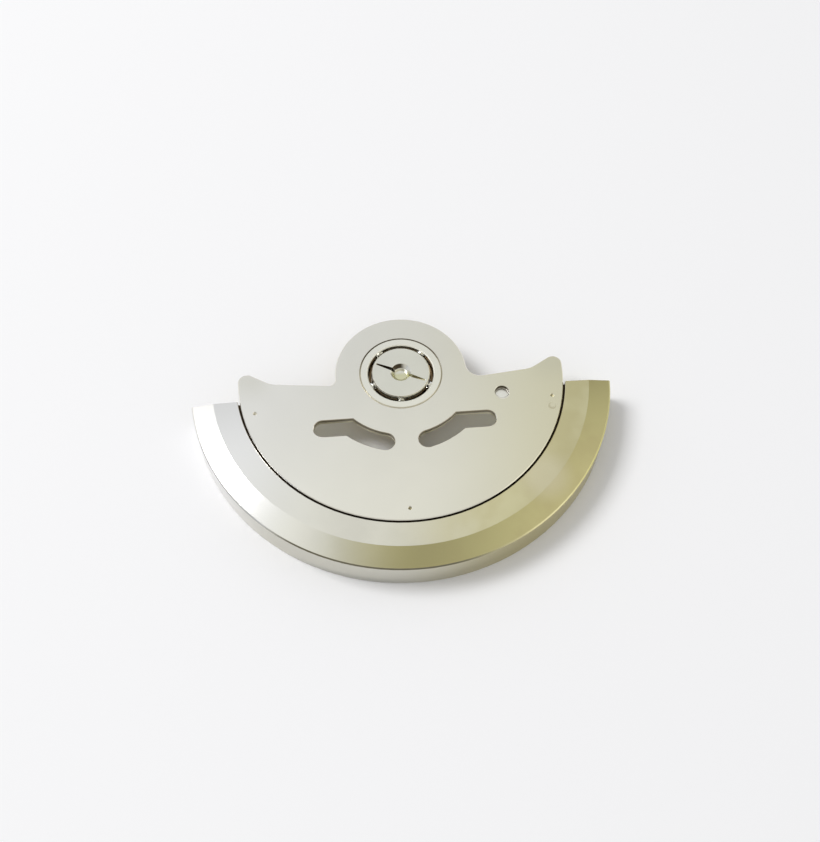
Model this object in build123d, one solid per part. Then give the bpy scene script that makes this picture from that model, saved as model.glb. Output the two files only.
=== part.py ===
from build123d import *
import math
import os

os.makedirs("parts", exist_ok=True)

# Automatic watch rotor: a half-disc carrier plate with a heavy rim segment, turning on a ball bearing.
# Lengths are in millimetres and angles in degrees.
# Origin: on the rotor axis, in the plane where the bearing core seats on the movement.
# +Z points up out of the movement, and the heavy segment hangs towards -Y.

# Main sizes
rotor_r = 13.36
plate_top = 1.45
plate_t = 0.40
weight_depth = 2.40

# Heavy segment
rim_flat_w = 1.51
flat_drop = 0.04
bevel_w = 1.39
bevel_drop = 0.23
bevel_edge = 0.08
foot_w = 3.3
foot_chamfer = 0.10
ledge_w = 1.78
ledge_t = 0.70
end_setback = 1.40
seam_chamfer = 0.04

# Carrier plate
seam_gap = 0.12
hub_r = 4.2
ear_w = 2.02
shoulder_drop = 0.64
shoulder_angle = 5.9
flank_angle = 31.0
ear_tip_r = 0.55
knee_r = 1.5
left_corner_r = 0.40
right_corner_r = 0.95
plate_chamfer = 0.05

# Kinked slots, one each side of the middle
slot_w = 1.15
slot_mid_r = 5.08
slot_straight_y = 3.73
slot_reach = 5.69
slot_start_angle = 15.0
slot_chamfer = 0.04

# Small blind hole
pin_hole_x = 6.27
pin_hole_y = 1.87
pin_hole_r = 0.43
pin_hole_depth = 0.28

# Rivets that hold the plate on the ledge
rivet_r = 0.30
rivet_head_r = 0.50
rivet_head_h = 0.20
rivet_spread = 76.0
rivet_count = 3
dimple_r = 0.13
dimple_depth = 0.12
dimple_shifts = [(0.0, 0.0), (-0.17, 0.03), (0.10, -0.05)]

# Ball bearing
ball_r = 0.30
ball_pitch_r = 1.975
ball_depth = 0.65
ball_count = 5
ball_phase = 51.0
race_clearance = 0.012
groove_half_angle = 45.0
land_setback = 0.125
race_wall = 0.184
race_proud = 0.02
race_chamfer = 0.05
land_chamfer = 0.06
flange_w = 0.40
flange_t = 0.20
race_foot_gap = 0.08

# Ball cage
cage_clearance = 0.05
cage_base_t = 0.12
cage_rise = 0.10
pocket_clearance = 0.025

# Core: the slotted hollow screw that the rotor turns on
core_proud = 0.10
core_chamfer = 0.06
shank_r = 1.00
stud_r = 0.80
stud_length = 0.70
stud_chamfer = 0.10
dish_r = 0.66
dish_hole_r = 0.42
dish_depth = 0.38
driver_angle = -25.9
driver_half_length = 1.72
driver_depth = 0.35
driver_end_w = 0.10
driver_mid_w = 0.24

# Driving gear under the plate
gear_teeth = 48
gear_module = 0.15
gear_t = 0.55
gear_pressure_angle = 20.0
addendum_share = 1.0
dedendum_share = 1.25

# Overrun of every cutting solid
cut_over = 0.5

# Length of a direction
unit = 1.0

# Derived places
plate_bottom = plate_top - plate_t
seam_r = rotor_r - bevel_w - rim_flat_w
plate_r = seam_r - seam_gap
weight_bottom = plate_top - weight_depth
ledge_bottom = plate_bottom - ledge_t
ledge_r = seam_r - ledge_w
foot_r = rotor_r - foot_w
rivet_circle_r = seam_r - ledge_w / 2
ball_z = plate_top - ball_depth
groove_reach = (ball_r + race_clearance) / math.sin(math.radians(groove_half_angle))
inner_apex_r = ball_pitch_r - groove_reach
outer_apex_r = ball_pitch_r + groove_reach
groove_slope = 1 / math.tan(math.radians(groove_half_angle))
inner_land_r = ball_pitch_r - land_setback
outer_land_r = ball_pitch_r + land_setback
race_r = outer_apex_r + race_wall
flange_r = race_r + flange_w
inner_groove_h = (inner_land_r - inner_apex_r) * groove_slope
outer_groove_h = (outer_apex_r - outer_land_r) * groove_slope


def polar(radius, angle, height=0.0):
    """The point at a radius and an angle about the rotor axis."""
    turn = math.radians(angle)
    return (radius * math.cos(turn), radius * math.sin(turn), height)


def turned(outline):
    """A solid of revolution about the rotor axis, from (radius, height) points."""
    return revolve(Plane.XZ * make_face(Polyline(*outline, close=True)), Axis.Z)


def nearest(vertices, *places):
    """The vertices that lie nearest to the given places."""
    return [vertices.sort_by_distance(place)[0] for place in places]


def disc(radius, low, high, centre=(0, 0)):
    """An upright cylinder between two heights."""
    return Pos(centre[0], centre[1], low) * extrude(Circle(radius), high - low)


def save(shape, name):
    """Write one named piece."""
    shape.label = name
    export_step(shape, "parts/" + name + ".step")


def rivet_places():
    """The middles of the rivets, spread evenly about -Y."""
    step = 2 * rivet_spread / (rivet_count - 1)
    return [polar(rivet_circle_r, -90 - rivet_spread + i * step) for i in range(rivet_count)]


def rivet_body():
    """One countersunk rivet on the origin's axis, from the ledge's underside to the plate's top."""
    return turned(
        [
            (0, ledge_bottom),
            (rivet_head_r, ledge_bottom),
            (rivet_r, ledge_bottom + rivet_head_h),
            (rivet_r, plate_top),
            (0, plate_top),
        ]
    )


def ear_knee(side):
    """The corner where an ear's flank rises from the shoulder."""
    knee_x = plate_r - ear_w
    rise = (knee_x - hub_r) * math.tan(math.radians(shoulder_angle))
    return (side * knee_x, rise - shoulder_drop)


def ear_tip(side):
    """The sharp corner where an ear's flank would meet the plate's arc, before its rounding."""
    knee_x, knee_y = ear_knee(1)
    slope = math.tan(math.radians(flank_angle))
    level = knee_y - slope * knee_x
    half = slope * level / (1 + slope**2)
    x = math.sqrt(half**2 - (level**2 - plate_r**2) / (1 + slope**2)) - half
    return (side * x, level + slope * x)


def plate_outline():
    """The half disc with its two ears and the round hub, as one face."""
    corners = [(0, -rotor_r), (rotor_r, -rotor_r)]
    flank_rise = (rotor_r - ear_knee(1)[0]) * math.tan(math.radians(flank_angle))
    knee_drop = ear_knee(1)[0] * math.tan(math.radians(shoulder_angle))
    right = [
        (rotor_r, ear_knee(1)[1] + flank_rise),
        ear_knee(1),
        (0, ear_knee(1)[1] - knee_drop),
    ]
    left = [(-x, y) for x, y in reversed(right[:-1])]
    below = make_face(Polyline(*corners, *right, *left, (-rotor_r, -rotor_r), close=True))
    arc_disc = Rot(0, 0, -90) * Circle(plate_r)
    hub_disc = Rot(0, 0, 90) * Circle(hub_r)
    face = (below & arc_disc) + hub_disc
    face = fillet(nearest(face.vertices(), ear_tip(1), ear_tip(-1)), ear_tip_r)
    face = fillet(nearest(face.vertices(), ear_knee(1), ear_knee(-1)), knee_r)
    face = fillet(nearest(face.vertices(), (hub_r, -shoulder_drop)), right_corner_r)
    return fillet(nearest(face.vertices(), (-hub_r, -shoulder_drop)), left_corner_r)


def slot_outline(side):
    """A slot that follows the hub and then turns straight out, with full-round ends."""
    half = slot_w / 2
    near_r, far_r = slot_mid_r - half, slot_mid_r + half
    near_y, far_y = half - slot_straight_y, -slot_straight_y - half
    near_kink = math.degrees(math.asin(near_y / near_r))
    far_kink = math.degrees(math.asin(far_y / far_r))
    start = slot_start_angle - 90
    end_x = slot_reach - half
    near_arc = ThreePointArc(
        polar(near_r, start),
        polar(near_r, (start + near_kink) / 2),
        polar(near_r, near_kink),
    )
    far_arc = ThreePointArc(
        polar(far_r, far_kink),
        polar(far_r, (start + far_kink) / 2),
        polar(far_r, start),
    )
    cap_tip = Vector(*polar(slot_mid_r, start)) - Vector(*polar(half, start + 90))
    edges = [
        near_arc,
        Line(near_arc @ 1, (end_x, near_y)),
        ThreePointArc((end_x, near_y), (slot_reach, -slot_straight_y), (end_x, far_y)),
        Line((end_x, far_y), far_arc @ 0),
        far_arc,
        ThreePointArc(far_arc @ 1, cap_tip, near_arc @ 0),
    ]
    face = make_face(edges)
    return face if side > 0 else mirror(face, Plane.YZ)


def rotor_plate():
    """The flat carrier plate, with its bearing bore, slots, small hole and rivet holes."""
    plate = Pos(0, 0, plate_bottom) * extrude(plate_outline(), plate_t)
    plate = chamfer(plate.faces().sort_by(Axis.Z)[-1].edges(), plate_chamfer)
    for side in (1, -1):
        slot = Pos(0, 0, plate_bottom) * extrude(slot_outline(side), plate_t)
        plate -= slot
    plate -= disc(pin_hole_r, plate_top - pin_hole_depth, plate_top, (pin_hole_x, -pin_hole_y))
    top = plate.faces().sort_by(Axis.Z)[-1]
    plate = chamfer([e for wire in top.inner_wires() for e in wire.edges()], slot_chamfer)
    plate -= disc(race_r, plate_bottom - cut_over, plate_top + cut_over)
    bore_edge = plate.edges().filter_by(GeomType.CIRCLE)
    bore_edge = bore_edge.filter_by(lambda e: abs(e.radius - race_r) < race_chamfer)
    plate = chamfer(bore_edge.sort_by(Axis.Z)[-1], race_chamfer)
    for place in rivet_places():
        plate -= disc(rivet_r, plate_bottom - cut_over, plate_top + cut_over, place)
    return plate


def heavy_weight():
    """The rim segment: barely sloping top, wide bevel, upright wall, and a ledge under the plate."""
    break_z = plate_top - flat_drop
    bevel_foot = break_z - bevel_drop
    ring = turned(
        [
            (seam_r + seam_chamfer, plate_top),
            (seam_r + rim_flat_w, break_z),
            (rotor_r - bevel_edge, bevel_foot),
            (rotor_r, bevel_foot - bevel_edge),
            (rotor_r, weight_bottom + foot_chamfer),
            (rotor_r - foot_chamfer, weight_bottom),
            (foot_r + foot_chamfer, weight_bottom),
            (foot_r, weight_bottom + foot_chamfer),
            (foot_r, ledge_bottom),
            (ledge_r, ledge_bottom),
            (ledge_r, plate_bottom),
            (seam_r, plate_bottom),
            (seam_r, plate_top - seam_chamfer),
        ]
    )
    reach = rotor_r + cut_over
    keep = Pos(0, -end_setback - reach / 2, plate_top - weight_depth / 2) * Box(
        2 * reach, reach, weight_depth + 2 * cut_over
    )
    weight = ring & keep
    for place in rivet_places():
        weight -= Pos(*place) * rivet_body()
    return weight


def weight_rivets():
    """The flush rivets, each with a small punch mark near the middle of its upper end."""
    mark = turned(
        [
            (0, plate_top - dimple_depth),
            (dimple_r, plate_top),
            (0, plate_top),
        ]
    )
    rivets = []
    for place, shift in zip(rivet_places(), dimple_shifts):
        rivets.append(Pos(*place) * (rivet_body() - Pos(*shift) * mark))
    return Compound(children=rivets)


def bearing_outer_race():
    """The outer race: a one-piece ring with a V groove, a flange under the plate and a lower neck."""
    top = plate_top + race_proud
    flange_low = plate_bottom - flange_t
    return turned(
        [
            (outer_land_r, ball_z + outer_groove_h),
            (outer_land_r, top - land_chamfer),
            (outer_land_r + land_chamfer, top),
            (race_r - race_chamfer, top),
            (race_r, top - race_chamfer),
            (race_r, plate_bottom),
            (flange_r, plate_bottom),
            (flange_r, flange_low),
            (race_r, flange_low),
            (race_r, race_foot_gap),
            (outer_land_r, race_foot_gap),
            (outer_land_r, ball_z - outer_groove_h),
            (outer_apex_r, ball_z),
        ]
    )


def core_screw():
    """The upper cone of the inner race in one piece with the slotted head, the shank and the stud."""
    top = plate_top + core_proud
    body = turned(
        [
            (0, top - dish_depth),
            (dish_hole_r, top - dish_depth),
            (dish_hole_r, top - (dish_r - dish_hole_r)),
            (dish_r, top),
            (inner_land_r - core_chamfer, top),
            (inner_land_r, top - core_chamfer),
            (inner_land_r, ball_z + inner_groove_h),
            (inner_apex_r, ball_z),
            (shank_r, ball_z),
            (shank_r, 0),
            (stud_r, 0),
            (stud_r, stud_chamfer - stud_length),
            (stud_r - stud_chamfer, -stud_length),
            (0, -stud_length),
        ]
    )
    return body - driver_cutter(top)


def driver_cutter(top):
    """The disc cutter with a tapered edge that mills the driver slot, deepest in the middle."""
    cutter_r = (driver_half_length**2 + driver_depth**2) / (2 * driver_depth)
    reach = driver_depth + cut_over
    taper = (driver_mid_w - driver_end_w) / (2 * driver_depth)
    wide = driver_end_w / 2 + taper * reach
    edge = make_face(
        Polyline(
            (cutter_r - reach, -wide),
            (cutter_r, -driver_end_w / 2),
            (cutter_r, driver_end_w / 2),
            (cutter_r - reach, wide),
            close=True,
        )
    )
    ring = revolve(Plane.XZ * edge, Axis.Z)
    across = Vector(*polar(unit, driver_angle + 90))
    seat = Plane(origin=(0, 0, top - driver_depth + cutter_r), x_dir=(0, 0, unit), z_dir=across)
    return seat * ring


def inner_race_cone():
    """The lower half of the inner race, pressed on the shank against the upper cone."""
    return turned(
        [
            (shank_r, 0),
            (inner_land_r - land_chamfer, 0),
            (inner_land_r, land_chamfer),
            (inner_land_r, ball_z - inner_groove_h),
            (inner_apex_r, ball_z),
            (shank_r, ball_z),
        ]
    )


def ball_angles():
    """The angle of each ball about the rotor axis."""
    return [ball_phase + i * 360 / ball_count for i in range(ball_count)]


def ball_cage():
    """The crown cage: a thin ring with one snap-in pocket for each ball."""
    inner_r = inner_land_r + cage_clearance
    outer_r = outer_land_r - cage_clearance
    pocket_r = ball_r + pocket_clearance
    low = ball_z - pocket_r - cage_base_t
    high = ball_z + cage_rise
    cage = disc(outer_r, low, high) - disc(inner_r, low - cut_over, high + cut_over)
    for angle in ball_angles():
        outward = Plane(origin=(0, 0, ball_z), z_dir=polar(unit, angle))
        cage -= outward * extrude(Circle(pocket_r), outer_r + cut_over)
    return cage


def ball(angle):
    """One bearing ball at its place on the pitch circle."""
    return Pos(*polar(ball_pitch_r, angle, ball_z)) * Sphere(ball_r)


def gear_half_angle(radius):
    """Half the angle that an involute tooth fills at a radius, in degrees."""
    pitch_r = gear_module * gear_teeth / 2
    base_r = pitch_r * math.cos(math.radians(gear_pressure_angle))

    def involute(cosine):
        angle = math.acos(min(1.0, cosine))
        return math.tan(angle) - angle

    spread = involute(base_r / pitch_r) - involute(base_r / radius)
    return math.degrees(math.pi / (2 * gear_teeth) + spread)


def drive_gear():
    """The toothed ring on the race's lower neck, which drives the winding train."""
    pitch_r = gear_module * gear_teeth / 2
    tip_r = pitch_r + addendum_share * gear_module
    root_r = pitch_r - dedendum_share * gear_module
    step = 360 / gear_teeth
    edges = []
    for i in range(gear_teeth):
        middle = i * step
        root_a, pitch_a, tip_a = (gear_half_angle(r) for r in (root_r, pitch_r, tip_r))
        rise = [polar(root_r, middle - root_a), polar(pitch_r, middle - pitch_a)]
        rise.append(polar(tip_r, middle - tip_a))
        fall = [polar(tip_r, middle + tip_a), polar(pitch_r, middle + pitch_a)]
        fall.append(polar(root_r, middle + root_a))
        edges.append(ThreePointArc(*rise))
        edges.append(Line(rise[-1], fall[0]))
        edges.append(ThreePointArc(*fall))
        edges.append(Line(fall[-1], polar(root_r, middle + step - root_a)))
    high = plate_bottom - flange_t
    face = make_face(edges) - Circle(race_r)
    return Pos(0, 0, high - gear_t) * extrude(face, gear_t)


save(rotor_plate(), "rotor_plate")
save(heavy_weight(), "heavy_weight")
save(weight_rivets(), "weight_rivets")
save(bearing_outer_race(), "bearing_outer_race")
save(drive_gear(), "drive_gear")
save(core_screw(), "core_screw")
save(inner_race_cone(), "inner_race_cone")
save(ball_cage(), "ball_cage")
for number, angle in enumerate(ball_angles(), start=1):
    save(ball(angle), f"ball_{number}")
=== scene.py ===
import math

import bmesh
import bpy
from mathutils import Matrix, Vector


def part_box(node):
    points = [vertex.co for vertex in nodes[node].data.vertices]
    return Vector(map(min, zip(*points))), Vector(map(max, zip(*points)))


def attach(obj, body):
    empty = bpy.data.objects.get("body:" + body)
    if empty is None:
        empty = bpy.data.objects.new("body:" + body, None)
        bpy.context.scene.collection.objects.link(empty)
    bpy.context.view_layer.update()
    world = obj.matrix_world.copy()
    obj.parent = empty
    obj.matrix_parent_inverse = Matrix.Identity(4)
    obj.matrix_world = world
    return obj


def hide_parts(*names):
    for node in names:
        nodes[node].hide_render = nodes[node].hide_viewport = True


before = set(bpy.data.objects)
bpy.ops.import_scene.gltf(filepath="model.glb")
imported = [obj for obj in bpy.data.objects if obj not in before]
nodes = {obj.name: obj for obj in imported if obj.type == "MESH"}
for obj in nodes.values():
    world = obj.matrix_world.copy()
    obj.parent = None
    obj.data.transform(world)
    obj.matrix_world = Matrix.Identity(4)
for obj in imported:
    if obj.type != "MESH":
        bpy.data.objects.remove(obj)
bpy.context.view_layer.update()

MM = 0.001


# Sizes in millimetres: the outer ones come from the parts in model.glb, the others are the part's own
# lengths

def box_mm(node):
    """A node's lowest and highest corners, in millimetres."""
    return [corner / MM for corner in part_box(node)]


plate_low, plate_high = box_mm("rotor_plate")
rim_low = box_mm("heavy_weight")[0]
core_low, core_high = box_mm("core_screw")

PLATE_TOP = plate_high.z
PLATE_BOTTOM = plate_low.z
PLATE_R = plate_high.x
PLATE_CHAMFER = 0.05
SLOT_CHAMFER = 0.04
HOLE_PLACE = (6.27, -1.87)
HOLE_FLOOR = PLATE_TOP - 0.28

RIM_R = -rim_low.y
RIM_BOTTOM = rim_low.z
SEAM_R = PLATE_R + 0.12
BEVEL_R = RIM_R - 1.39
BEVEL_EDGE = 0.08
WALL_TOP = 1.10

RACE_R = 2.60
RACE_CHAMFER = 0.05
RACE_MOUTH_R = 2.16
RACE_SHOULDER = 1.40

CORE_TOP = core_high.z
CORE_R = 1.85
CORE_CHAMFER = 0.06
DISH_R = 0.66
DISH_HOLE_R = 0.42

STUD_R = 0.80
STUD_ROOT_R = 0.69
STUD_LENGTH = -core_low.z
STUD_CHAMFER = 0.10
PITCH = 0.20
RELIEF = 0.08


class Nodes:
    """Short helpers for one node tree."""

    def __init__(self, tree):
        self.tree = tree

    def add(self, kind, **settings):
        """A new node with its properties set."""
        made = self.tree.nodes.new(kind)
        for key, value in settings.items():
            setattr(made, key, value)
        return made

    def feed(self, socket, value):
        """A link from another node's output, or a plain value."""
        if isinstance(value, bpy.types.NodeSocket):
            self.tree.links.new(value, socket)
        else:
            socket.default_value = value

    def maths(self, operation, *values):
        """A maths node fed by outputs or plain numbers."""
        made = self.add("ShaderNodeMath", operation=operation)
        for socket, value in zip(made.inputs, values):
            self.feed(socket, value)
        return made.outputs[0]

    def smooth(self, value, start, full):
        """A mask that goes smoothly from 0 at one value to 1 at another, upwards or downwards."""
        made = self.add("ShaderNodeMapRange", interpolation_type="SMOOTHSTEP")
        self.feed(made.inputs["Value"], value)
        self.feed(made.inputs["From Min"], start)
        self.feed(made.inputs["From Max"], full)
        return made.outputs[0]

    def both(self, *masks):
        """The part that every one of the masks picks out."""
        part = masks[0]
        for mask in masks[1:]:
            part = self.maths("MULTIPLY", part, mask)
        return part

    def blend(self, mask, first, second):
        """One colour where the mask is 0 and another where it is 1."""
        made = self.add("ShaderNodeMix", data_type="RGBA")
        self.feed(made.inputs[0], mask)
        self.feed(made.inputs[6], first)
        self.feed(made.inputs[7], second)
        return made.outputs[2]

    def span(self, value, low, high):
        """A number between two limits, in step with a value from 0 to 1."""
        made = self.add("ShaderNodeMapRange")
        self.feed(made.inputs["Value"], value)
        self.feed(made.inputs["To Min"], low)
        self.feed(made.inputs["To Max"], high)
        return made.outputs[0]

    def noise(self, place, scale, detail=3.0):
        """Soft noise, with its scale in turns per millimetre."""
        made = self.add("ShaderNodeTexNoise")
        made.inputs["Scale"].default_value = scale / MM
        made.inputs["Detail"].default_value = detail
        self.feed(made.inputs["Vector"], place)
        return made.outputs["Fac"]


# Materials

# A tone is a colour and a roughness. A pair of limits is where a mask starts and where it is full, in
# millimetres. X runs to the right, Y away from the heavy rim and Z upwards.

CLOUD_SCALE = 0.35
CLOUD_DETAIL = 4.0
CLOUD_LIMITS = (0.3, 0.7)
GRAIN_SCALE = 14.0
GRAIN_HEIGHT = 0.002
SOFT = 0.01


class Metal(Nodes):
    """A satin metal with clouds in its colour, grain in its roughness, and tones laid over both."""

    def __init__(self, name, tone, cloud=0.05, grain=0.03, bump=0.02):
        self.material = bpy.data.materials.new(name)
        self.material.use_nodes = True
        super().__init__(self.material.node_tree)
        colour, rough = tone
        self.shader = self.tree.nodes["Principled BSDF"]
        self.shader.inputs["Metallic"].default_value = 1.0
        self.place = self.add("ShaderNodeTexCoord").outputs["Object"]
        low = [c * (1 - cloud) for c in colour]
        high = [min(1.0, c * (1 + cloud)) for c in colour]
        clouds = self.smooth(self.noise(self.place, CLOUD_SCALE, CLOUD_DETAIL), *CLOUD_LIMITS)
        self.colour = self.blend(clouds, (*low, 1), (*high, 1))
        fine = self.noise(self.place, GRAIN_SCALE)
        self.rough = self.span(fine, rough - grain, rough + grain)
        lift = self.add("ShaderNodeBump")
        lift.inputs["Strength"].default_value = bump
        lift.inputs["Distance"].default_value = GRAIN_HEIGHT * MM
        self.feed(lift.inputs["Height"], fine)
        self.feed(self.shader.inputs["Normal"], lift.outputs["Normal"])
        axes = self.add("ShaderNodeSeparateXYZ")
        self.feed(axes.inputs[0], self.place)
        self.x, self.y, self.z = (self.maths("DIVIDE", out, MM) for out in axes.outputs)
        self.r = self.radius()

    def radius(self, x=0.0, y=0.0):
        """The distance from an upright line, in millimetres."""
        across = self.maths("SUBTRACT", self.x, x)
        along = self.maths("SUBTRACT", self.y, y)
        squares = self.maths("MULTIPLY_ADD", across, across, self.maths("MULTIPLY", along, along))
        return self.maths("SQRT", squares)

    def over(self, value, level):
        """The part where a value is past a level."""
        return self.smooth(value, level, level + SOFT)

    def under(self, value, level):
        """The part where a value is short of a level."""
        return self.smooth(value, level, level - SOFT)

    def lay(self, mask, tone, share=1.0):
        """Another tone, or a share of it, over the part that a mask picks out."""
        colour, rough = tone
        if share < 1.0:
            mask = self.maths("MULTIPLY", mask, share)
        self.colour = self.blend(mask, self.colour, (*colour, 1))
        before = self.maths("MULTIPLY", self.rough, self.maths("SUBTRACT", 1.0, mask))
        self.rough = self.maths("MULTIPLY_ADD", mask, rough, before)

    def done(self):
        """The finished material."""
        self.feed(self.shader.inputs["Base Color"], self.colour)
        self.feed(self.shader.inputs["Roughness"], self.rough)
        return self.material


# Painted shade for the gaps between the plate and the rim.
SEAM_SHADE = (0.11, 0.08, 0.05), 0.65

# Plate and rivets
PLATE_TONE = (0.85, 0.83, 0.77), 0.20
# Warmer towards the right: partly the plating's tint, partly a painted reflection of the warm room on the
# right.
PLATE_WARM = (0.85, 0.82, 0.67), 0.20
PLATE_WARM_X = (1.0, 10.0)
EAR_TONE = (0.72, 0.70, 0.60), 0.20
EAR_R = (7.5, 9.5)
EAR_Y = (-2.0, 0.3)
UNDERSIDE_TONE = (0.88, 0.84, 0.60), 0.35
UNDERSIDE_Z = (PLATE_BOTTOM + 0.04, PLATE_BOTTOM + 0.01)

SLOTS_R = (6.7, 6.6)
SLOTS_Y = (-2.7, -2.8)
# A painted warm reflection on the slots' walls.
SLOT_SIDE_REFLECTION = (0.93, 0.88, 0.72), 0.40
# Painted shade: a dark line high on the slots' walls.
SLOT_LINE_SHADE = (0.36, 0.32, 0.24), 0.40
SLOT_LINE_TOP = (PLATE_TOP - 0.001, PLATE_TOP - 0.01)
SLOT_LINE_BOTTOM = (1.16, 1.26)

IN_HOLE_R = (0.62, 0.60)
HOLE_MOUTH = PLATE_TOP - 0.02
# Painted shade on the hole's walls, darker still on their far side.
HOLE_SIDE_SHADE = (0.44, 0.42, 0.36), 0.60
HOLE_SIDE_Z = (HOLE_FLOOR + 0.005, HOLE_FLOOR + 0.01)
HOLE_SHADE = (0.10, 0.085, 0.055), 0.60
HOLE_SHADE_Z = (HOLE_FLOOR + 0.02, HOLE_FLOOR + 0.07)
HOLE_SHADE_Y = (-1.98, -1.72)
# Painted light on the hole's floor.
HOLE_BOTTOM_LIGHT = (0.96, 0.95, 0.93), 0.30
HOLE_BOTTOM_R = (0.50, 0.48)
# A painted highlight on the plate around the hole's near lip.
LIP_HIGHLIGHT = (0.96, 0.94, 0.90), 0.22
LIP_PLACE = (6.30, -1.99)
LIP_R = (0.46, 0.40)
LIP_START_R = (0.40, 0.42)

SCUFF_TONE = (0.58, 0.54, 0.38), 0.45
SCUFF_PLACE = (9.28, -3.15)
SCUFF_R = (0.26, 0.23)
SCUFF_MIDDLE = (9.33, -3.08)
SCUFF_MIDDLE_R = (0.15, 0.19)

# Painted shade along the seam around the outer race, on its far side.
RACE_SEAM_SHADE = (0.14, 0.12, 0.09), 0.50
RACE_LINE_R = (RACE_R + 0.07, RACE_R + 0.05)
RACE_LINE_Y = (-0.2, 1.6)
SEAM_SIDE_R = PLATE_R - 0.015
SEAM_SIDE_TOP = PLATE_TOP - 0.045
SEAM_SIDE_Y = (-1.4, -1.5)

MARK_TOP = (PLATE_TOP - 0.01, PLATE_TOP - 0.03)
MARK_BOTTOM = (PLATE_TOP - 0.15, PLATE_TOP - 0.13)
# Painted shade in the punch marks, lighter towards the left and the right.
MARK_SHADE = (0.39, 0.36, 0.25), 0.35
LEFT_MARK_SHADE = (0.64, 0.62, 0.54), 0.40
LEFT_MARK_X = (-4.0, -6.0)
RIGHT_MARK_SHADE = (0.48, 0.45, 0.31), 0.40
RIGHT_MARK_X = (4.0, 6.0)


def plated(name):
    """The plating of the plate and its rivets, warmer towards the right: partly its tint, partly a painted
    reflection.
    """
    metal = Metal(name, PLATE_TONE, cloud=0.015)
    metal.lay(metal.smooth(metal.x, *PLATE_WARM_X), PLATE_WARM)
    return metal


def plate_look():
    """The plate, with darker ears, painted light and shade in its slots and hole, a scuff, and painted
    shade in its seams.
    """
    metal = plated("plated_plate")
    ears = metal.both(metal.smooth(metal.r, *EAR_R), metal.smooth(metal.y, *EAR_Y))
    metal.lay(metal.both(ears, metal.over(metal.z, PLATE_TOP - PLATE_CHAMFER)), EAR_TONE, share=0.5)

    from_hole = metal.radius(*HOLE_PLACE)
    in_hole = metal.smooth(from_hole, *IN_HOLE_R)
    off_hole = metal.maths("SUBTRACT", 1.0, in_hole)
    slots = metal.smooth(metal.r, *SLOTS_R)
    slot_side = metal.both(slots, metal.under(metal.z, PLATE_TOP - SLOT_CHAMFER), off_hole)
    # Painted warm reflection on the slots' walls.
    metal.lay(slot_side, SLOT_SIDE_REFLECTION)
    # Painted shade as a dark line high on the slots' walls.
    line = metal.both(metal.smooth(metal.z, *SLOT_LINE_TOP), metal.smooth(metal.z, *SLOT_LINE_BOTTOM))
    metal.lay(metal.both(slots, line, metal.smooth(metal.y, *SLOTS_Y)), SLOT_LINE_SHADE)

    # Painted shade on the hole's walls, darkest on the far side.
    hole_side = metal.both(in_hole, metal.under(metal.z, HOLE_MOUTH))
    above_floor = metal.smooth(metal.z, *HOLE_SIDE_Z)
    metal.lay(metal.both(hole_side, above_floor), HOLE_SIDE_SHADE)
    far_side = metal.both(metal.smooth(metal.z, *HOLE_SHADE_Z), metal.smooth(metal.y, *HOLE_SHADE_Y))
    metal.lay(metal.both(hole_side, far_side), HOLE_SHADE)
    # A painted highlight around the hole's near lip, and painted light on the hole's floor.
    lip = metal.both(metal.smooth(metal.radius(*LIP_PLACE), *LIP_R), metal.smooth(from_hole, *LIP_START_R))
    metal.lay(metal.both(lip, metal.over(metal.z, PLATE_TOP - SLOT_CHAMFER)), LIP_HIGHLIGHT, share=0.8)
    bottom = metal.both(metal.smooth(from_hole, *HOLE_BOTTOM_R), metal.maths("SUBTRACT", 1.0, above_floor))
    metal.lay(bottom, HOLE_BOTTOM_LIGHT)

    metal.lay(metal.smooth(metal.z, *UNDERSIDE_Z), UNDERSIDE_TONE)
    scuff = metal.smooth(metal.radius(*SCUFF_PLACE), *SCUFF_R)
    around_middle = metal.smooth(metal.radius(*SCUFF_MIDDLE), *SCUFF_MIDDLE_R)
    metal.lay(metal.both(scuff, around_middle), SCUFF_TONE, share=0.6)
    # Painted shade in the seam around the outer race, on its far side.
    race_seam_shade = metal.both(metal.smooth(metal.r, *RACE_LINE_R), metal.smooth(metal.y, *RACE_LINE_Y))
    metal.lay(race_seam_shade, RACE_SEAM_SHADE)
    # Painted shade on the plate's outer side, down in the seam to the rim.
    seam_side = metal.both(metal.over(metal.r, SEAM_SIDE_R), metal.smooth(metal.y, *SEAM_SIDE_Y))
    metal.lay(metal.both(seam_side, metal.under(metal.z, SEAM_SIDE_TOP)), SEAM_SHADE)
    return metal.done()


def rivet_look():
    """The rivets, with painted shade in their punch marks that is darkest in the middle of the arc."""
    metal = plated("rivet_steel")
    mark = metal.both(metal.smooth(metal.z, *MARK_TOP), metal.smooth(metal.z, *MARK_BOTTOM))
    # Painted shade in the punch marks.
    metal.lay(mark, MARK_SHADE)
    metal.lay(metal.both(mark, metal.smooth(metal.x, *LEFT_MARK_X)), LEFT_MARK_SHADE)
    metal.lay(metal.both(mark, metal.smooth(metal.x, *RIGHT_MARK_X)), RIGHT_MARK_SHADE)
    return metal.done()


# Heavy rim
RIM_TONE = (0.74, 0.72, 0.665), 0.14
# Warmer towards the right, on the bevel and in the haze too: partly tint, partly a painted reflection of
# the warm room.
RIM_WARM = (0.79, 0.76, 0.54), 0.14
RIM_WARM_X = (-1.0, 6.0)
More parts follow.
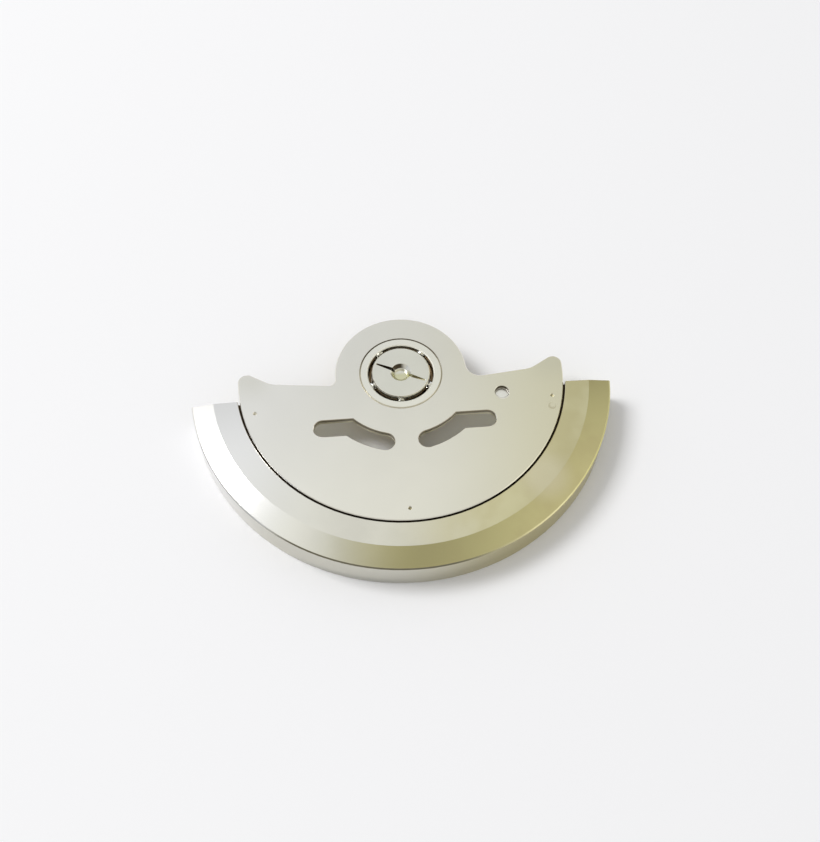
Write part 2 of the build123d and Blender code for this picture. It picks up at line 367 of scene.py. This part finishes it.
# Painted light: the rim paler towards the left.
RIM_LEFT_LIGHT = (0.806, 0.79, 0.745), 0.14
RIM_LEFT_X = (-4.0, -9.0)
RIM_UPPER_Z = (1.06, 1.12)
BEVEL_WARM = (0.75, 0.71, 0.42), 0.14
BEVEL_WARM_X = (-6.0, 0.0)
HAZE_TONE = (0.66, 0.60, 0.36), 0.20
HAZE_SCALE = 0.30
HAZE_LIMITS = (0.42, 0.62)
HAZE_X = (-3.0, 6.0)
# A painted highlight on the rim's top at the lower right.
RIM_HIGHLIGHT = (0.86, 0.82, 0.67), 0.16
RIM_HIGHLIGHT_PLACE = (8.1, -7.9)
RIM_HIGHLIGHT_R = (2.2, 0.5)

WALL_R = (RIM_R - 0.03, RIM_R - 0.01)
# Painted shade: the wall darker than the rim's top.
WALL_SHADE = (0.605, 0.59, 0.52), 0.28
# Painted light: the wall paler towards the left.
WALL_LEFT_LIGHT = (0.80, 0.79, 0.785), 0.28
WALL_LEFT_X = (-8.0, -13.0)
# Warmer towards the right: partly tint, partly painted reflection.
WALL_WARM = (0.585, 0.525, 0.28), 0.28
WALL_WARM_X = (-2.0, 8.0)
# Darker and warmer at the far right: partly tint, partly painted shade.
WALL_RIGHT = (0.48, 0.44, 0.25), 0.28
WALL_RIGHT_X = (11.0, 12.4)

EDGE_R = (RIM_R - BEVEL_EDGE - 0.005, RIM_R - BEVEL_EDGE + 0.01)
EDGE_RIGHT = (0.58, 0.54, 0.24), 0.20
EDGE_RIGHT_X = (8.5, 11.5)
# A painted dark reflection along the rounded edge under the bevel.
EDGE_DARK_REFLECTION = (0.20, 0.185, 0.13), 0.35
EDGE_LINE_LEFT_X = (-9.0, -7.0)
EDGE_LINE_RIGHT_X = (6.0, 2.0)

# Painted shade low on the wall, near the foot.
FOOT_SHADE = (0.42, 0.42, 0.38), 0.30
FOOT_Z = (-0.1, -0.7)
FOOT_LEFT_X = (-8.0, -5.5)
FOOT_RIGHT_X = (1.0, -3.0)

GAP_START_R = PLATE_R - 0.04
GAP_END_R = SEAM_R + 0.015
GAP_BOTTOM = PLATE_BOTTOM - 0.05


def rim_look():
    """The rim: painted light at left, warm and hazy at right partly by painted reflection, a painted dark
    reflection under its bevel.
    """
    metal = Metal("heavy_metal", RIM_TONE, cloud=0.05, grain=0.02)
    upper = metal.smooth(metal.z, *RIM_UPPER_Z)
    # Warmer towards the right, with a warm haze: partly tint, partly painted reflection.
    metal.lay(metal.smooth(metal.x, *RIM_WARM_X), RIM_WARM)
    bevel = metal.both(upper, metal.smooth(metal.r, BEVEL_R - SOFT, BEVEL_R + SOFT))
    metal.lay(metal.both(bevel, metal.smooth(metal.x, *BEVEL_WARM_X)), BEVEL_WARM)
    haze = metal.smooth(metal.noise(metal.place, HAZE_SCALE), *HAZE_LIMITS)
    metal.lay(metal.both(haze, metal.smooth(metal.x, *HAZE_X)), HAZE_TONE, share=0.5)
    # Painted light: the rim paler towards the left.
    metal.lay(metal.smooth(metal.x, *RIM_LEFT_X), RIM_LEFT_LIGHT)
    # A painted highlight on the rim's top at the lower right.
    rim_highlight = metal.smooth(metal.radius(*RIM_HIGHLIGHT_PLACE), *RIM_HIGHLIGHT_R)
    metal.lay(metal.both(upper, rim_highlight), RIM_HIGHLIGHT, share=0.7)

    wall = metal.smooth(metal.r, *WALL_R)
    # Painted shade on the wall, painted light at its left, partly painted warmth and shade at its right.
    metal.lay(wall, WALL_SHADE)
    metal.lay(metal.both(wall, metal.smooth(metal.x, *WALL_LEFT_X)), WALL_LEFT_LIGHT)
    metal.lay(metal.both(wall, metal.smooth(metal.x, *WALL_WARM_X)), WALL_WARM)
    metal.lay(metal.both(wall, metal.smooth(metal.x, *WALL_RIGHT_X)), WALL_RIGHT)

    edge = metal.both(metal.smooth(metal.r, *EDGE_R), metal.over(metal.z, WALL_TOP - SOFT))
    # The edge warmer at the far right: partly tint, partly painted reflection.
    metal.lay(metal.both(edge, metal.smooth(metal.x, *EDGE_RIGHT_X)), EDGE_RIGHT)
    # Painted dark reflection along the edge under the bevel.
    line_left = metal.smooth(metal.x, *EDGE_LINE_LEFT_X)
    line_right = metal.smooth(metal.x, *EDGE_LINE_RIGHT_X)
    metal.lay(metal.both(edge, line_left, line_right), EDGE_DARK_REFLECTION)
    # Painted shade low on the wall, near the foot.
    foot_left = metal.smooth(metal.x, *FOOT_LEFT_X)
    foot_right = metal.smooth(metal.x, *FOOT_RIGHT_X)
    foot = metal.both(wall, metal.smooth(metal.z, *FOOT_Z), foot_left, foot_right)
    metal.lay(foot, FOOT_SHADE, share=0.6)

    # Painted shade in the gap between the plate and the rim.
    in_gap = metal.both(metal.over(metal.r, GAP_START_R), metal.under(metal.r, GAP_END_R))
    metal.lay(metal.both(in_gap, metal.over(metal.z, GAP_BOTTOM)), SEAM_SHADE)
    return metal.done()


# Bearing
RACE_TONE = (0.93, 0.915, 0.84), 0.18
RACE_TOP_Z = (RACE_SHOULDER, RACE_SHOULDER + 0.005)
MOUTH_TONE = (0.87, 0.86, 0.79), 0.55
MOUTH_R = (RACE_MOUTH_R + 0.01, RACE_MOUTH_R + 0.005)
SHOULDER_R = RACE_R - RACE_CHAMFER - 0.005
# Painted shade on the outer shoulder's chamfer, lighter on the near side.
SHOULDER_SHADE = (0.45, 0.42, 0.33), 0.50
SHOULDER_NEAR_SHADE = (0.66, 0.63, 0.53), 0.50
SHOULDER_NEAR_Y = (-0.8, -1.8)

CORE_TONE = (0.82, 0.81, 0.74), 0.22
CORE_EDGE = (0.82, 0.81, 0.74), 0.55
CORE_EDGE_R = CORE_R - CORE_CHAMFER - SOFT
CORE_EDGE_Z = CORE_TOP - CORE_CHAMFER - SOFT
# Painted shade in the far left quarter of the dish.
DISH_SHADE = (0.07, 0.055, 0.035), 0.35
DISH_START_R = (DISH_HOLE_R, DISH_HOLE_R + 0.04)
DISH_END_R = (DISH_R + 0.02, DISH_R)
DISH_SHADE_X = (0.35, 0.0)
DISH_SHADE_Y = (0.05, 0.40)
# A painted warm reflection on the near part of the dish's bottom.
DISH_BOTTOM_REFLECTION = (0.66, 0.65, 0.41), 0.40
DISH_BOTTOM_R = (0.62, 0.55)
DISH_BOTTOM_Y = (0.25, 0.0)
DISH_BOTTOM_Z = (CORE_TOP - 0.05, CORE_TOP - 0.08)
DRIVER_TOP = CORE_TOP - 0.015
DRIVER_BOTTOM = 1.15
DRIVER_START_R = (DISH_R + 0.02, DISH_R + 0.08)
# Painted shade in the driver slot, darker in its left half.
DRIVER_SHADE = (0.46, 0.43, 0.30), 0.50
DRIVER_LEFT_SHADE = (0.12, 0.09, 0.055), 0.50
DRIVER_LEFT_X = (0.1, -0.1)


def race_look():
    """The bright races, with duller chamfers at the mouth and the outer shoulder, and painted shade on the
    shoulder.
    """
    metal = Metal("race_steel", RACE_TONE, cloud=0.02)
    top = metal.smooth(metal.z, *RACE_TOP_Z)
    metal.lay(metal.both(top, metal.smooth(metal.r, *MOUTH_R)), MOUTH_TONE)
    shoulder = metal.both(top, metal.over(metal.r, SHOULDER_R))
    # Painted shade on the shoulder, lighter on the near side.
    metal.lay(shoulder, SHOULDER_SHADE)
    metal.lay(metal.both(shoulder, metal.smooth(metal.y, *SHOULDER_NEAR_Y)), SHOULDER_NEAR_SHADE)
    return metal.done()


def core_look():
    """The core, with painted shade in its driver slot, darkest in the left half, and in the far left
    quarter of its dish.
    """
    metal = Metal("core_steel", CORE_TONE, cloud=0.03)
    metal.lay(metal.both(metal.over(metal.r, CORE_EDGE_R), metal.over(metal.z, CORE_EDGE_Z)), CORE_EDGE)
    dish = metal.both(metal.smooth(metal.r, *DISH_START_R), metal.smooth(metal.r, *DISH_END_R))
    far_left = metal.both(metal.smooth(metal.x, *DISH_SHADE_X), metal.smooth(metal.y, *DISH_SHADE_Y))
    # Painted shade in the dish, and a painted warm reflection at its bottom.
    metal.lay(metal.both(dish, far_left, metal.under(metal.z, CORE_TOP - SOFT)), DISH_SHADE)
    bottom = metal.both(metal.smooth(metal.r, *DISH_BOTTOM_R), metal.smooth(metal.z, *DISH_BOTTOM_Z))
    metal.lay(metal.both(bottom, metal.smooth(metal.y, *DISH_BOTTOM_Y)), DISH_BOTTOM_REFLECTION, share=0.8)
    driver = metal.both(metal.smooth(metal.r, *DRIVER_START_R), metal.under(metal.r, CORE_R - SOFT))
    driver = metal.both(driver, metal.under(metal.z, DRIVER_TOP), metal.over(metal.z, DRIVER_BOTTOM))
    # Painted shade in the driver slot, darker in its left half.
    metal.lay(driver, DRIVER_SHADE)
    metal.lay(metal.both(driver, metal.smooth(metal.x, *DRIVER_LEFT_X)), DRIVER_LEFT_SHADE)
    return metal.done()


def ball_look():
    """Polished ball steel."""
    return Metal("ball_steel", ((0.80, 0.80, 0.80), 0.08), cloud=0.01, grain=0.01).done()


def cage_look():
    """Dark bronze, darkened further as painted shade in the bearing's gap."""
    return Metal("cage_bronze", ((0.16, 0.11, 0.06), 0.40)).done()


def gear_look():
    """Satin brass."""
    return Metal("gear_brass", ((0.78, 0.62, 0.34), 0.28)).done()


BALL_COUNT = 5

race_steel = race_look()
looks = {
    "rotor_plate": plate_look(),
    "heavy_weight": rim_look(),
    "weight_rivets": rivet_look(),
    "bearing_outer_race": race_steel,
    "inner_race_cone": race_steel,
    "drive_gear": gear_look(),
    "core_screw": core_look(),
    "ball_cage": cage_look(),
}
ball_steel = ball_look()
for number in range(1, BALL_COUNT + 1):
    looks[f"ball_{number}"] = ball_steel
for node_name, look in looks.items():
    node_mesh = nodes[node_name].data
    node_mesh.materials.clear()
    node_mesh.materials.append(look)


# Thread of the stud, cut below the core's seat

TURN_STEPS = 64
RISE_STEPS = 48
SHARP = math.radians(30)
CREST = 1.35
FLANK = 1.9
SEAT_MARGIN = 0.001


def thread_radius(turn, z):
    """The stud's radius at a share of a turn and a height below the seat, for a right-hand thread."""
    phase = (z / PITCH - turn) % 1.0
    rise = min(1.0, max(0.0, CREST - abs(2 * phase - 1) * FLANK))
    radius = STUD_ROOT_R + (STUD_R - STUD_ROOT_R) * rise
    if z > -RELIEF:
        radius = STUD_ROOT_R
    return min(radius, STUD_R - max(0.0, STUD_CHAMFER - STUD_LENGTH - z))


def threaded_core():
    """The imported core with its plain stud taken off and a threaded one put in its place."""
    work = bmesh.new()
    work.from_mesh(nodes["core_screw"].data)
    plain = [face for face in work.faces if face.calc_center_median().z < -SEAT_MARGIN * MM]
    bmesh.ops.delete(work, geom=plain, context="FACES")
    rows = []
    for i in range(-1, RISE_STEPS + 1):
        z = -STUD_LENGTH * max(i, 0) / RISE_STEPS
        row = []
        for j in range(TURN_STEPS):
            turn = j / TURN_STEPS
            radius = STUD_R if i < 0 else thread_radius(turn, z)
            angle = 2 * math.pi * turn
            place = Vector((radius * math.cos(angle), radius * math.sin(angle), z))
            row.append(work.verts.new(place * MM))
        rows.append(row)
    made_faces = []
    for upper, lower in zip(rows, rows[1:]):
        for j in range(TURN_STEPS):
            k = (j + 1) % TURN_STEPS
            made_faces.append(work.faces.new((upper[j], lower[j], lower[k], upper[k])))
    made_faces.append(work.faces.new(rows[-1][::-1]))
    work.normal_update()
    for face in made_faces:
        face.smooth = True
        for edge in face.edges:
            edge.smooth = edge.calc_face_angle(math.pi) < SHARP
    mesh = bpy.data.meshes.new("core_threaded")
    work.to_mesh(mesh)
    work.free()
    mesh.materials.append(looks["core_screw"])
    made = bpy.data.objects.new("core_threaded", mesh)
    bpy.context.collection.objects.link(made)
    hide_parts("core_screw")
    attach(made, "core")


threaded_core()


# Floor, which the rim's foot rests on

FLOOR_SIZE = 1200

bpy.ops.mesh.primitive_plane_add(size=FLOOR_SIZE * MM, location=(0, 0, RIM_BOTTOM * MM))
floor = bpy.context.object
floor.name = "floor"
paper = bpy.data.materials.new("floor_paper")
paper.use_nodes = True
paper_shader = paper.node_tree.nodes["Principled BSDF"]
paper_shader.inputs["Base Color"].default_value = (0.93, 0.93, 0.94, 1)
paper_shader.inputs["Roughness"].default_value = 0.9
paper_shader.inputs["Specular IOR Level"].default_value = 0.2
floor.data.materials.append(paper)


# Light

# Metal reflects a pale studio at the back and the left, which gets darker and warmer overhead and
# towards the right, with a bright side at the far right and a pale wall in front. A ramp runs from
# the back left to the front right, and each colour in it stands at its place along the ramp.

RAMP = [
    (0.000, (1.15, 1.17, 1.22)),
    (0.080, (1.13, 1.15, 1.20)),
    (0.130, (1.06, 1.08, 1.13)),
    (0.190, (0.90, 0.92, 0.97)),
    (0.290, (1.03, 1.06, 1.13)),
    (0.354, (0.86, 0.88, 0.87)),
    (0.400, (0.915, 0.93, 0.88)),
    (0.446, (0.90, 0.905, 0.87)),
    (0.492, (0.84, 0.86, 0.78)),
    (0.538, (0.77, 0.76, 0.665)),
    (0.600, (0.72, 0.705, 0.59)),
    (0.640, (0.50, 0.485, 0.40)),
    (0.692, (0.360, 0.349, 0.288)),
    (0.785, (0.49, 0.475, 0.38)),
    (0.923, (0.78, 0.75, 0.62)),
]
EVEN_STRENGTH = 0.58
GROUND_COLOUR = (0.95, 0.95, 0.96, 1)

RAMP_BACK_SHARE = -0.8
RAMP_START = -0.9
RAMP_LENGTH = 1.3
BLACK = (0, 0, 0, 1)

FAR_BACK = (0.45, 0.54)
FAR_BACK_DIM = 0.23
LEFT = (-0.31, -0.37)
LEFT_BACK = (0.45, 0.38)
LEFT_DIM = 0.40
TOP_BACK = (0.20, 0.12)
TOP_LEFT = (-0.24, -0.10)
TOP_RIGHT = (0.02, -0.05)
TOP_DIM = 0.20
FRONT = (-0.35, -0.65)
FRONT_COLOUR = (0.66, 0.65, 0.61, 1)
FAR_RIGHT = (0.62, 0.85)
FAR_RIGHT_COLOUR = (1.12, 1.10, 1.02, 1)


def room_colour(sky):
    """The colour of the room in each direction, as metal reflects it."""
    axes = sky.add("ShaderNodeSeparateXYZ")
    sky.feed(axes.inputs[0], sky.add("ShaderNodeTexCoord").outputs["Generated"])
    across, back = axes.outputs["X"], axes.outputs["Y"]
    along = sky.maths("MULTIPLY_ADD", back, RAMP_BACK_SHARE, across)
    ramp = sky.add("ShaderNodeValToRGB")
    place = sky.maths("MULTIPLY_ADD", along, 1 / RAMP_LENGTH, -RAMP_START / RAMP_LENGTH)
    sky.feed(ramp.inputs["Fac"], place)
    elements = ramp.color_ramp.elements
    while len(elements) < len(RAMP):
        elements.new(0.5)
    for element, (position, colour) in zip(elements, RAMP):
        element.position = position
        element.color = (*colour, 1)
    left = sky.both(sky.smooth(across, *LEFT), sky.smooth(back, *LEFT_BACK))
    top = sky.both(sky.smooth(across, *TOP_LEFT), sky.smooth(across, *TOP_RIGHT))
    top = sky.both(sky.smooth(back, *TOP_BACK), top)
    far_back = sky.smooth(back, *FAR_BACK)
    room = ramp.outputs["Color"]
    for mask, dim in ((far_back, FAR_BACK_DIM), (left, LEFT_DIM), (top, TOP_DIM)):
        room = sky.blend(sky.maths("MULTIPLY", mask, dim), room, BLACK)
    room = sky.blend(sky.smooth(back, *FRONT), room, FRONT_COLOUR)
    return sky.blend(sky.smooth(across, *FAR_RIGHT), room, FAR_RIGHT_COLOUR)


def studio():
    """A world with an even light, the room for reflections, and a white ground behind the part."""
    world = bpy.data.worlds.new("studio")
    bpy.context.scene.world = world
    world.use_nodes = True
    world.node_tree.nodes.clear()
    sky = Nodes(world.node_tree)
    even = sky.add("ShaderNodeBackground")
    even.inputs["Color"].default_value = (1, 1, 1, 1)
    even.inputs["Strength"].default_value = EVEN_STRENGTH
    reflected = sky.add("ShaderNodeBackground")
    sky.feed(reflected.inputs["Color"], room_colour(sky))
    white = sky.add("ShaderNodeBackground")
    white.inputs["Color"].default_value = GROUND_COLOUR
    path = sky.add("ShaderNodeLightPath")
    by_gloss = sky.add("ShaderNodeMixShader")
    sky.feed(by_gloss.inputs[0], path.outputs["Is Glossy Ray"])
    sky.feed(by_gloss.inputs[1], even.outputs[0])
    sky.feed(by_gloss.inputs[2], reflected.outputs[0])
    by_camera = sky.add("ShaderNodeMixShader")
    sky.feed(by_camera.inputs[0], path.outputs["Is Camera Ray"])
    sky.feed(by_camera.inputs[1], by_gloss.outputs[0])
    sky.feed(by_camera.inputs[2], white.outputs[0])
    out = sky.add("ShaderNodeOutputWorld")
    sky.feed(out.inputs["Surface"], by_camera.outputs[0])


def softbox(name, place, aim, size, power):
    """A square area lamp, with lengths in millimetres and power as the radiance of its face."""
    data = bpy.data.lights.new(name, "AREA")
    data.shape = "SQUARE"
    data.size = size * MM
    data.energy = power * math.pi * data.size**2
    lamp = bpy.data.objects.new(name, data)
    bpy.context.collection.objects.link(lamp)
    lamp.location = Vector(place) * MM
    lamp.rotation_euler = (Vector(aim) - Vector(place)).to_track_quat("-Z", "Y").to_euler()


studio()
softbox("key", place=(-360, 130, 471), aim=(0, -5, 0), size=250, power=10.1)


# Camera, in millimetres and degrees

CAMERA_PLACE = (-2.907, -38.167, 60.888)
CAMERA_HEADING = -5.3
CAMERA_HEIGHT = 59.703
CAMERA_ROLL = 0.829
CAMERA_LENS = 47.395

camera_data = bpy.data.cameras.new("camera")
camera_data.lens = CAMERA_LENS
camera_data.clip_start = 1 * MM
camera_data.clip_end = 10000 * MM
camera = bpy.data.objects.new("camera", camera_data)
bpy.context.collection.objects.link(camera)
heading = Matrix.Rotation(math.radians(CAMERA_HEADING), 4, "Z")
tilt = Matrix.Rotation(math.radians(90 - CAMERA_HEIGHT), 4, "X")
roll = Matrix.Rotation(math.radians(CAMERA_ROLL), 4, "Z")
camera.matrix_world = Matrix.Translation(Vector(CAMERA_PLACE) * MM) @ heading @ tilt @ roll
bpy.context.scene.camera = camera
bpy.context.scene.view_settings.view_transform = "Standard"
